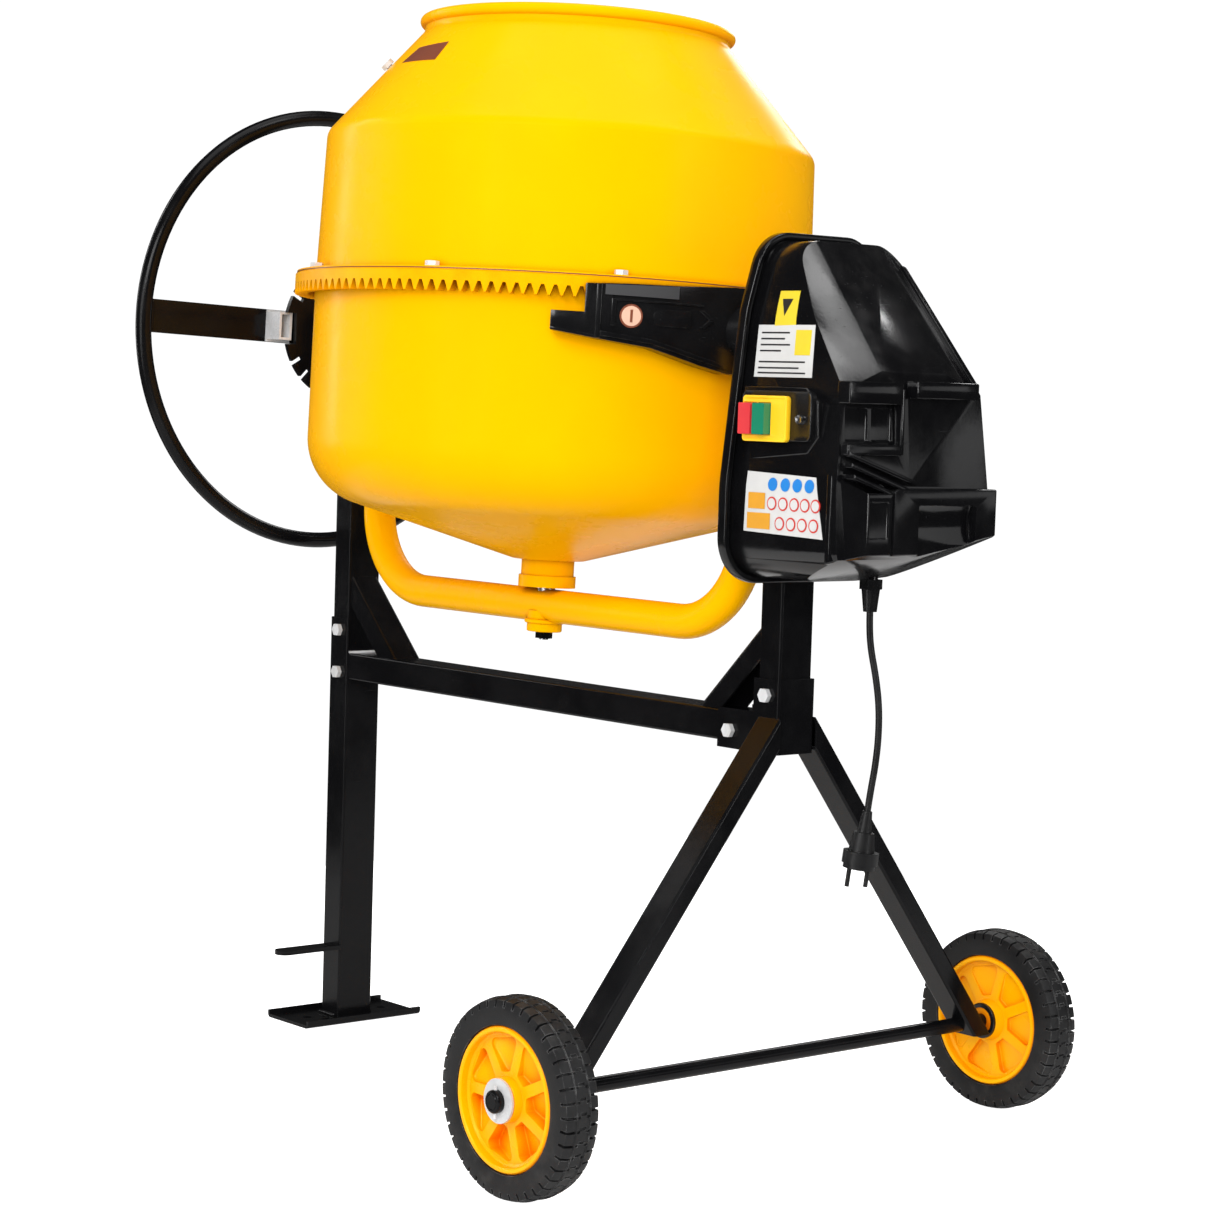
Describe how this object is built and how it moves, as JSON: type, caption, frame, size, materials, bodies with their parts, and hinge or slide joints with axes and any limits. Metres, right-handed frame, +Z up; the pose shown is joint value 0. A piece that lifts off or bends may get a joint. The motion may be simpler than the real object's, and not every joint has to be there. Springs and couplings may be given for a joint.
{
  "type": "concrete mixer",
  "caption": "Tilting-drum electric concrete mixer on a wheeled steel stand, with a handwheel, ring gear drive, belt-driven pinion and motor housing.",
  "frame": {"origin": "bottom centre of the mixer's bounding box, on the floor", "axes": "+X from the handwheel to the motor housing, +Y along the wheel axle away from the switch, +Z up"},
  "size_m": [1.0519, 0.7562, 1.2031],
  "materials": {
    "yellow_paint": "glossy yellow powder coat",
    "ring_gear_paint": "yellow paint over cast iron",
    "black_paint": "glossy black paint",
    "zinc_plate": "bright zinc plating",
    "bright_steel": "turned steel",
    "cast_iron": "oiled cast iron",
    "motor_casting": "die-cast aluminium",
    "winding_steel": "laminated core with varnished windings",
    "gloss_black_plastic": "glossy black moulding",
    "satin_black_plastic": "satin black moulding",
    "yellow_plastic": "yellow moulding",
    "tyre_rubber": "moulded tread rubber",
    "cable_rubber": "smooth black rubber",
    "switch_yellow": "yellow moulding",
    "button_red": "red push button",
    "button_green": "green push button"
  },
  "bodies": {
    "frame": {"axle": "black_paint", "axle_washers": "zinc_plate", "back_plate": "gloss_black_plastic", "cable_gland": "satin_black_plastic", "capacitor": "satin_black_plastic", "crossbar": "black_paint", "drive_belt": "cable_rubber", "far_leg": "black_paint", "foot_bearing": "black_paint", "foot_brace": "black_paint", "foot_leg": "black_paint", "foot_plate": "black_paint", "foot_post": "black_paint", "foot_step": "black_paint", "frame_bolts": "zinc_plate", "housing_screws": "zinc_plate", "leg_socket": "black_paint", "lock_disc": "black_paint", "mains_cord": "cable_rubber", "motor": "motor_casting", "motor_bearing": "black_paint", "motor_brace": "black_paint", "motor_cover": "gloss_black_plastic", "motor_post": "black_paint", "near_leg": "black_paint", "plug": "cable_rubber", "stator": "winding_steel", "switch_body": "gloss_black_plastic", "switch_plate": "switch_yellow"},
    "yoke": {"yoke": "yellow_paint", "drum_axle": "bright_steel", "axle_nut": "black_paint", "foot_trunnion": "yellow_paint", "motor_trunnion": "yellow_paint", "pinion_bearings": "bright_steel", "gear_guard": "satin_black_plastic"},
    "handwheel": {"handwheel_ring": "black_paint", "handwheel_bar": "black_paint", "handwheel_clevis": "black_paint", "rock_pin": "zinc_plate", "lock_catch": "zinc_plate"},
    "drum": {"drum_bowl": "yellow_paint", "drum_cone": "yellow_paint", "ring_gear": "ring_gear_paint", "drum_bolts": "zinc_plate", "paddles": "yellow_paint", "drum_hub": "yellow_paint", "hub_bearings": "bright_steel", "hub_cap": "yellow_paint"},
    "pinion_drive": {"pinion_shaft": "bright_steel", "pinion": "cast_iron", "large_pulley": "satin_black_plastic"},
    "motor_rotor": {"rotor": "bright_steel", "motor_pulley": "motor_casting"},
    "near_wheel": {"near_rim": "yellow_plastic", "near_tyre": "tyre_rubber"},
    "far_wheel": {"far_rim": "yellow_plastic", "far_tyre": "tyre_rubber"},
    "red_push": {"red_button": "button_red"},
    "green_push": {"green_button": "button_green"}
  },
  "joints": [
    {"name": "drum_tilt", "type": "hinge", "parent": "frame", "child": "yoke", "pos_m": [-0.049, 0, 0.8543], "axis": [1, 0, 0], "range_deg": [-120, 120]},
    {"name": "drum_spin", "type": "hinge", "parent": "yoke", "child": "drum", "pos_m": [-0.049, 0, 0.8543], "axis": [0, 0.0349, 0.9994], "continuous": true},
    {"name": "pinion_spin", "type": "hinge", "parent": "yoke", "child": "pinion_drive", "pos_m": [0.25, 0, 0.8543], "axis": [1, 0, 0], "continuous": true},
    {"name": "motor_spin", "type": "hinge", "parent": "frame", "child": "motor_rotor", "pos_m": [0.4, 0, 0.69], "axis": [1, 0, 0], "continuous": true},
    {"name": "handwheel_rock", "type": "hinge", "parent": "yoke", "child": "handwheel", "pos_m": [-0.5, 0, 0.8543], "axis": [0, 0.0349, 0.9994], "range_deg": [-7, 0], "stiffness_Nm_per_rad": 25},
    {"name": "near_wheel_spin", "type": "hinge", "parent": "frame", "child": "near_wheel", "pos_m": [0.3413, -0.344, 0.1], "axis": [0, 1, 0], "continuous": true},
    {"name": "far_wheel_spin", "type": "hinge", "parent": "frame", "child": "far_wheel", "pos_m": [0.3413, 0.344, 0.1], "axis": [0, 1, 0], "continuous": true},
    {"name": "red_button_press", "type": "slide", "parent": "frame", "child": "red_push", "axis": [0, 1, 0], "range_m": [0, 0.004], "stiffness_N_per_m": 300},
    {"name": "green_button_press", "type": "slide", "parent": "frame", "child": "green_push", "axis": [0, 1, 0], "range_m": [0, 0.004], "stiffness_N_per_m": 300}
  ],
  "couplings": [
    {"joint": "pinion_spin", "follows": "drum_spin", "ratio": -10.071},
    {"joint": "motor_spin", "follows": "drum_spin", "ratio": -89.524}
  ]
}
